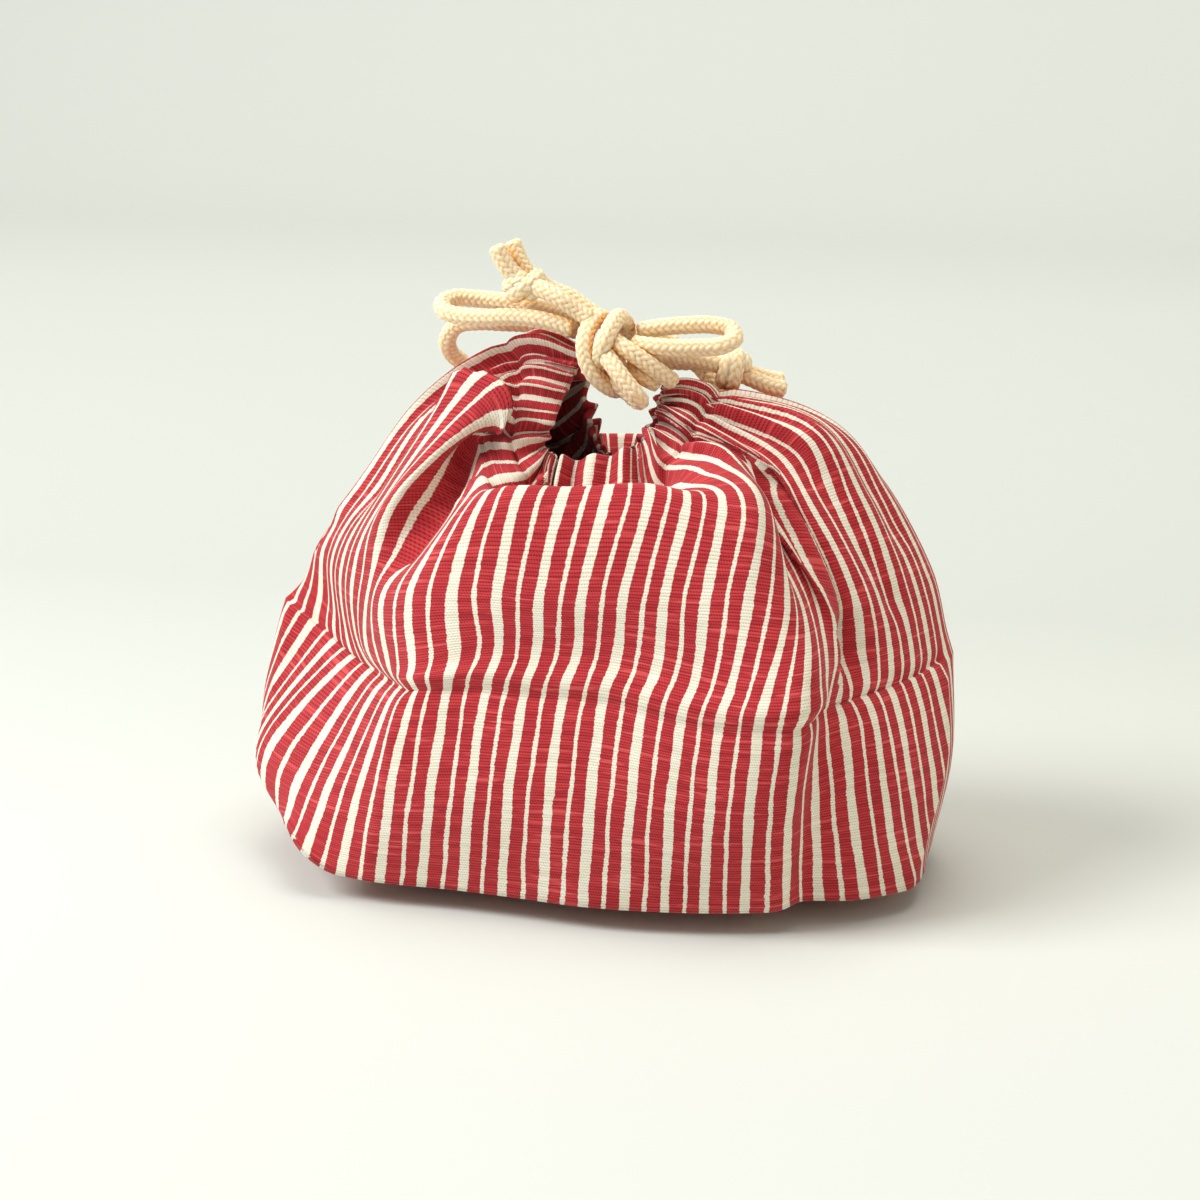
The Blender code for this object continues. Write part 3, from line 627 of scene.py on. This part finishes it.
def up_the_channel(heights):
    """Share of the channel's width that lies below each height; less than 0 below its seam."""
    return (heights - (WALL_CUT - CHANNEL_WIDTH)) / CHANNEL_WIDTH


def channel_swell(heights):
    """How far the channel stands out over the cord in it, less how far its seam is drawn in.

    The swell is half a sine from the seam to the mouth's edge, a little blunted. The pinch is a
    bell curve round the seam.
    """
    share = up_the_channel(heights)
    swell = CHANNEL_SWELL * np.sin(np.pi * np.clip(share, 0, 1)) ** SWELL_BLUNTNESS
    pinch = SEAM_PINCH * np.exp(-(share * CHANNEL_WIDTH / SEAM_PINCH_WIDTH) ** 2)
    return (swell - pinch)[:, None]


def folds(stations, heights):
    """How far the cloth's folds stand out from the smooth cloth, or in from it.

    Each fold runs along a line on the cloth. Its height falls off with the distance from the
    line measured on the cloth: as exp(-d / width) where it is sharp, exp(-(d / width)^2) where
    soft. A fold with a narrow side stands over the cloth there, as a folded edge does.
    """
    place = np.stack(np.meshgrid(stations * STRIPE_REPEAT, heights), axis=-1)
    total = np.zeros(place.shape[:2])
    for line, height, (left_width, right_width), sharp in FOLDS:
        line = np.array(line) * [STRIPE_REPEAT, MM]
        nearest = np.full(place.shape[:2], np.inf)
        width = np.full(place.shape[:2], left_width * MM)
        for start, end in zip(line[:-1], line[1:]):
            way = end - start
            share = np.clip(((place - start) @ way) / (way @ way), 0, 1)
            off = place - start - share[..., None] * way
            distance = np.linalg.norm(off, axis=-1)
            closer = distance < nearest
            on_left = way[0] * off[..., 1] > way[1] * off[..., 0]
            width = np.where(closer, np.where(on_left, left_width, right_width) * MM, width)
            nearest = np.minimum(nearest, distance)
        reach = nearest / width
        total += height * MM * np.exp(-reach if sharp else -reach ** 2)
    return total


def bag_grid():
    """Rows of points of the bag's outside, from the base's inmost ring to the mouth, and their places.

    The smooth cloth is moved out along its normals by the gathers, the channel's swell and the
    folds. The rim rises and falls with its pleats. A ring of the base is the wall's foot, drawn in.
    """
    count = PLEATS * COLUMNS_PER_PLEAT
    stations = BACK_STATION + REPEATS_ROUND * np.arange(count) / count
    heights = np.concatenate([np.linspace(*band) for band in ROW_BANDS]) * MM
    wall = smooth_cloth(stations, heights)
    normal = outward(wall)
    pleated = gathers(wall, stations, heights)
    proud = pleated + channel_swell(heights) + folds(stations, heights)
    in_channel = np.clip(up_the_channel(heights), 0, 1)[:, None, None]
    up_cloth = unit(np.gradient(wall, axis=0))
    wall = wall + normal * proud[:, :, None] + up_cloth * in_channel * RIM_SCALLOP * pleated[:, :, None]
    rings = [wall[0] * [share, share, lift] for share, lift in BASE_RINGS]
    return np.concatenate([np.array(rings), wall]), stations, heights


def cloth_thickness(heights):
    """One layer in the wall and two in the channel; it grows evenly over a stretch below the seam."""
    doubled = np.clip(1 + up_the_channel(heights) / DOUBLING_SHARE, 0, 1)
    return CLOTH_THICKNESS * (1 + doubled)


def strips(row_count, count):
    """The four corners of each face between rows of so many points that close on themselves."""
    start = np.arange((row_count - 1) * count)
    right = start // count * count + (start + 1) % count
    return np.stack([start, right, right + count, start + count], axis=1)


def strip_places(levels, stations):
    """Where those four corners lie on the cut cloth, in stripe repeats."""
    count = len(stations)
    left = np.tile(stations, len(levels) - 1)
    right = left + REPEATS_ROUND / count
    low, high = np.repeat(levels[:-1], count), np.repeat(levels[1:], count)
    return np.stack([left, low, right, low, right, high, left, high], axis=1).reshape(-1, 4, 2)


def shell(name, rows, stations, heights, finish):
    """A closed shell of cloth, whose inside has every second row of its outside.

    The inside lies one thickness of cloth in from the outside, along the normals. A crest halfway
    between them, a little beyond both, rounds the mouth's edge. The print's UV map is in stripe
    repeats, round the bag and up it.
    """
    count = rows.shape[1]
    up = np.concatenate([np.arange(-len(BASE_RINGS), 0) * BASE_RING_STEP, heights])
    kept = np.arange(len(rows) - 1, -1, -2)[::-1]
    inside = (rows - outward(rows) * cloth_thickness(up)[:, None, None])[kept]
    inside[0, :, 2] = rows[kept[0], :, 2] + CLOTH_THICKNESS
    crest = (rows[-1] + inside[-1]) / 2 + unit(rows[-1] - rows[-2]) * CLOTH_THICKNESS

    first_inside = len(rows) * count
    outer = strips(len(rows), count)
    inner = strips(len(kept), count)[:, ::-1] + first_inside
    here = np.arange(count)
    after = (here + 1) % count
    outer_edge, inner_edge = first_inside - count, first_inside + (len(kept) - 1) * count
    crest_edge = inner_edge + count
    rim = np.concatenate([
        np.stack([low + here, low + after, high + after, high + here], axis=1)
        for low, high in ((outer_edge, crest_edge), (crest_edge, inner_edge))])
    floor = [here[::-1].tolist(), (here + first_inside).tolist()]
    mesh = bpy.data.meshes.new(name)
    mesh.from_pydata(np.concatenate([rows.reshape(-1, 3), inside.reshape(-1, 3), crest]), [],
                     [*outer.tolist(), *inner.tolist(), *rim.tolist(), *floor])
    mesh.shade_smooth()

    levels = up / STRIPE_REPEAT
    rim_places = strip_places(np.array([levels[-1], levels[-1]]), stations)
    floor_places = np.concatenate([rows[0, ::-1, :2], rows[0, :, :2]]) / STRIPE_REPEAT
    places = (strip_places(levels, stations), strip_places(levels[kept], stations)[:, ::-1],
              rim_places, rim_places, floor_places)
    uv = np.concatenate([part.reshape(-1, 2) for part in places])
    layer = mesh.uv_layers.new(name="cloth")
    layer.data.foreach_set("uv", uv.ravel())
    mesh.materials.append(finish)
    piece = bpy.data.objects.new(name, mesh)
    bpy.context.collection.objects.link(piece)
    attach(piece, "root")
    return piece


# Slub cotton, plain woven with thick weft ribs 0.7 mm apart, printed with red on cream by hand
# screen: the stripes' edges wander, and thicker slubs in the weft took the colour lighter. The
# ribs are drawn 0.85 mm apart, so that they still show from a metre away. Sizes of the print and
# the weave are in millimetres.
REPEAT_MM = STRIPE_REPEAT / MM
THICK_CREAM_HALF, THIN_CREAM_HALF = 1.5, 0.66  # half the widths of the two cream stripes
EDGE_BLUR = 0.12
RIB_SPACING = 0.85
WARP_SPACING = 0.8

# Grains of the cloth and the print: a noise each, its width and height in millimetres and its detail.
CLOTH_GRAINS = [("wander", 5, 15, 2), ("jagged", 2.0, 0.9, 2), ("uneven", 9, 3, 2),
                ("streak", 18, 1.3, 3), ("slub", 24, 1.5, 1)]

cotton, tree, shader = new_material("printed_slub_cotton")
cloth_place = add_node(tree, "UVMap", {"uv_map": "cloth"})
cloth_mm = add_node(tree, "VectorMath", {"operation": "SCALE"}, in0=cloth_place.outputs["UV"],
                    in3=REPEAT_MM)
split = add_node(tree, "SeparateXYZ", Vector=cloth_mm.outputs[0])
grains = {}
for grain, width, height, detail in CLOTH_GRAINS:
    sized = add_node(tree, "Mapping", Vector=cloth_mm.outputs[0], Scale=(1 / width, 1 / height, 1))
    grains[grain] = add_node(tree, "TexNoise", {"noise_dimensions": "2D"}, Vector=sized.outputs[0],
                             Scale=1.0, Detail=detail).outputs["Fac"]

# the print: the distance from the middle of the broad cream stripe says which colour it is
pushed = add_node(tree, "Math", {"operation": "MULTIPLY_ADD"}, in0=grains["wander"], in1=1.25,
                  in2=split.outputs["X"])
frayed = add_node(tree, "Math", {"operation": "MULTIPLY_ADD"}, in0=grains["jagged"], in1=0.6,
                  in2=pushed.outputs[0])
centred = add_node(tree, "Math", {"operation": "SUBTRACT"}, in0=frayed.outputs[0], in1=0.925)
from_broad = add_node(tree, "Math", {"operation": "PINGPONG"}, in0=centred.outputs[0],
                      in1=REPEAT_MM / 2)
broad = add_node(tree, "MapRange", {"interpolation_type": "SMOOTHSTEP"}, in0=from_broad.outputs[0],
                 in1=THICK_CREAM_HALF - EDGE_BLUR, in2=THICK_CREAM_HALF + EDGE_BLUR, in3=1.0, in4=0.0)
narrow = add_node(tree, "MapRange", {"interpolation_type": "SMOOTHSTEP"}, in0=from_broad.outputs[0],
                  in1=REPEAT_MM / 2 - THIN_CREAM_HALF - EDGE_BLUR,
                  in2=REPEAT_MM / 2 - THIN_CREAM_HALF + EDGE_BLUR, in3=0.0, in4=1.0)
cream = add_node(tree, "Math", {"operation": "MAXIMUM"}, in0=broad.outputs[0], in1=narrow.outputs[0])

# the weave: round ribs side by side up the cloth, each dotted where the warp passes over it
rib_place = add_node(tree, "Math", {"operation": "MULTIPLY_ADD"}, in0=split.outputs["Y"],
                     in1=np.pi / RIB_SPACING, in2=grains["uneven"])
rib_wave = add_node(tree, "Math", {"operation": "SINE"}, in0=rib_place.outputs[0])
rib = add_node(tree, "Math", {"operation": "ABSOLUTE"}, in0=rib_wave.outputs[0])
warp_place = add_node(tree, "Math", {"operation": "MULTIPLY_ADD"}, in0=split.outputs["X"],
                      in1=2 * np.pi / WARP_SPACING, in2=rib_place.outputs[0])
warp = add_node(tree, "Math", {"operation": "SINE"}, in0=warp_place.outputs[0])
height = add_node(tree, "Math", {"operation": "MULTIPLY_ADD"}, in0=warp.outputs[0], in1=0.22,
                  in2=rib.outputs[0])
slub = add_node(tree, "MapRange", {"interpolation_type": "SMOOTHSTEP"}, in0=grains["slub"], in1=0.64,
                in2=0.76, in3=0.0, in4=1.0)
cloth_relief = add_node(tree, "Math", {"operation": "MULTIPLY_ADD"}, in0=slub.outputs[0], in1=0.5,
                        in2=height.outputs[0])

# the colours: each weft takes the dye a little differently, and the gaps between ribs are darkened with
# painted shade
red = add_node(tree, "ValToRGB", Fac=grains["streak"])
colour_steps(red, [(0.3, "#ae2b34"), (0.5, "#bc343b"), (0.7, "#cb4144")])
pale = add_node(tree, "ValToRGB", Fac=grains["streak"])
colour_steps(pale, [(0.3, "#e6e1cc"), (0.7, "#f1eee0")])
red_slub = add_node(tree, "Mix", {"data_type": "RGBA"}, in0=slub.outputs[0], in6=red.outputs["Color"],
                    in7=linear("#d25252"))
printed = add_node(tree, "Mix", {"data_type": "RGBA"}, in0=cream.outputs[0], in6=red_slub.outputs[2],
                   in7=pale.outputs["Color"])
# painted shade: the print is darker down in the gaps between the ribs and keeps its full colour on their
# tops
gap_shade_red = add_node(tree, "ValToRGB", Fac=cloth_relief.outputs[0])
colour_steps(gap_shade_red, [(0.05, "#a46a70"), (0.5, "#f2e8e6"), (0.95, "#fffefe")])
gap_shade_pale = add_node(tree, "ValToRGB", Fac=cloth_relief.outputs[0])
colour_steps(gap_shade_pale, [(0.05, "#d8d0b5"), (0.45, "#ffffff")])
gap_shade = add_node(tree, "Mix", {"data_type": "RGBA"}, in0=cream.outputs[0], in6=gap_shade_red.outputs["Color"],
               in7=gap_shade_pale.outputs["Color"])
# the print, darkened by the painted shade between the ribs
woven = add_node(tree, "Mix", {"data_type": "RGBA", "blend_type": "MULTIPLY"}, in0=1.0,
                 in6=printed.outputs[2], in7=gap_shade.outputs[2])
tree.links.new(woven.outputs[2], shader.inputs["Base Color"])
weave = add_node(tree, "Bump", Strength=0.55, Distance=0.14 * MM, Height=cloth_relief.outputs[0])
tree.links.new(weave.outputs["Normal"], shader.inputs["Normal"])
shader.inputs["Roughness"].default_value = 0.85
shader.inputs["Sheen Weight"].default_value = 0.12
shader.inputs["Sheen Roughness"].default_value = 0.5
shader.inputs["Specular IOR Level"].default_value = 0.2

rows, stations, heights = bag_grid()
bag = shell("bag_cloth", rows, stations, heights, cotton)
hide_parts("bag_body")


# The studio: a sweep of pale paper that the bag stands on, which curves up to a wall behind it.
# Soft light comes from a large window at the left and from the ceiling, and a warm wall at the
# right throws a little of it back.

SWEEP_HALF_WIDTH = 3.0
SWEEP_FRONT = -3.0
SWEEP_BEND = 1.2
SWEEP_RADIUS = 0.5
SWEEP_HEIGHT = 3.0
BEND_POINTS = 25
PALE_FROM, PALE_WHOLLY = 0.9, 2.6
TONE_NEAR, TONE_FAR = -0.6, 1.4
ROOM_LIGHT, ROOM_SEEN = 0.35, 0.5

paper, tree, shader = new_material("sweep_paper")
paper_place = add_node(tree, "TexCoord")
paper_split = add_node(tree, "SeparateXYZ", Vector=paper_place.outputs["Object"])
# painted light and shade on the paper: its colour changes from front to back, darkest in a band some 0.3
# m behind the bag, lighter in front and farther back
distance = add_node(tree, "MapRange", in0=paper_split.outputs["Y"], in1=TONE_NEAR, in2=TONE_FAR)
paper_light_and_shade = add_node(tree, "ValToRGB", Fac=distance.outputs[0])
colour_steps(paper_light_and_shade, [(0.0, "#cdd0cb"), (0.3, "#d2d5cf"), (0.45, "#c7cbc4"), (0.78, "#dbdfd8"),
                          (1.0, "#dde1da")])
tree.links.new(paper_light_and_shade.outputs["Color"], shader.inputs["Base Color"])
shader.inputs["Roughness"].default_value = 0.9
shader.inputs["Specular IOR Level"].default_value = 0.1

# where the camera sees it past the lamps' reach, at the sides and in front, the paper glows for the
# camera alone: painted light that keeps it pale
sideways = add_node(tree, "Math", {"operation": "ABSOLUTE"}, in0=paper_split.outputs["X"])
forwards = add_node(tree, "Math", {"operation": "MULTIPLY"}, in0=paper_split.outputs["Y"], in1=-1.0)
away = add_node(tree, "Math", {"operation": "MAXIMUM"}, in0=sideways.outputs[0], in1=forwards.outputs[0])
glow_share = add_node(tree, "MapRange", {"interpolation_type": "SMOOTHSTEP"}, in0=away.outputs[0],
                 in1=PALE_FROM, in2=PALE_WHOLLY, in3=0.0, in4=0.52)
seen_by = add_node(tree, "LightPath")
glow = add_node(tree, "Math", {"operation": "MULTIPLY"}, in0=glow_share.outputs[0],
                in1=seen_by.outputs["Is Camera Ray"])
shader.inputs["Emission Color"].default_value = linear("#fbfcf6")
tree.links.new(glow.outputs[0], shader.inputs["Emission Strength"])

# its profile from the front to the top of the wall: flat, a quarter circle, upright
turned = np.linspace(0, np.pi / 2, BEND_POINTS)
bend = np.stack([SWEEP_BEND + SWEEP_RADIUS * np.sin(turned), SWEEP_RADIUS * (1 - np.cos(turned))], axis=1)
profile = np.concatenate([[[SWEEP_FRONT, 0.0]], bend, [[SWEEP_BEND + SWEEP_RADIUS, SWEEP_HEIGHT]]])
left_edge = np.column_stack([np.full(len(profile), -SWEEP_HALF_WIDTH), profile])
right_edge = left_edge * [-1, 1, 1]
low = np.arange(len(profile) - 1)
panels = np.stack([low, low + len(profile), low + len(profile) + 1, low + 1], axis=1)
sweep_mesh = bpy.data.meshes.new("sweep")
sweep_mesh.from_pydata(np.concatenate([left_edge, right_edge]), [], panels.tolist())
sweep_mesh.shade_smooth()
sweep_mesh.materials.append(paper)
sweep = bpy.data.objects.new("sweep", sweep_mesh)
bpy.context.collection.objects.link(sweep)


def soft_lamp(name, place, aim, size, power, colour):
    """A square area lamp at a place, turned to its aim."""
    lamp = bpy.data.lights.new(name, "AREA")
    lamp.size = size
    lamp.energy = power
    lamp.color = linear(colour)[:3]
    body = bpy.data.objects.new(name, lamp)
    bpy.context.collection.objects.link(body)
    body.location = place
    body.rotation_euler = (Vector(aim) - Vector(place)).to_track_quat("-Z", "Y").to_euler()


soft_lamp("window", place=(-1.2, -0.6, 1.3), aim=(0, 0, 0.06), size=0.8, power=32, colour="#ffffff")
soft_lamp("ceiling", place=(0.1, 0.2, 1.8), aim=(0, 0, 0), size=1.4, power=20, colour="#fffaf2")
soft_lamp("wall", place=(1.3, -0.5, 0.5), aim=(0, 0, 0.06), size=1.0, power=3.6, colour="#ffe2bc")

# the room's own even light, which the camera sees brighter than it lights
world = bpy.data.worlds.new("room")
world.use_nodes = True
light_path = add_node(world.node_tree, "LightPath")
seen_or_lit = add_node(world.node_tree, "Math", {"operation": "MULTIPLY_ADD"},
                       in0=light_path.outputs["Is Camera Ray"], in1=ROOM_SEEN, in2=ROOM_LIGHT)
background = world.node_tree.nodes["Background"]
background.inputs["Color"].default_value = linear("#fafcff")
world.node_tree.links.new(seen_or_lit.outputs[0], background.inputs["Strength"])
bpy.context.scene.world = world
bpy.context.scene.view_settings.view_transform = "Standard"
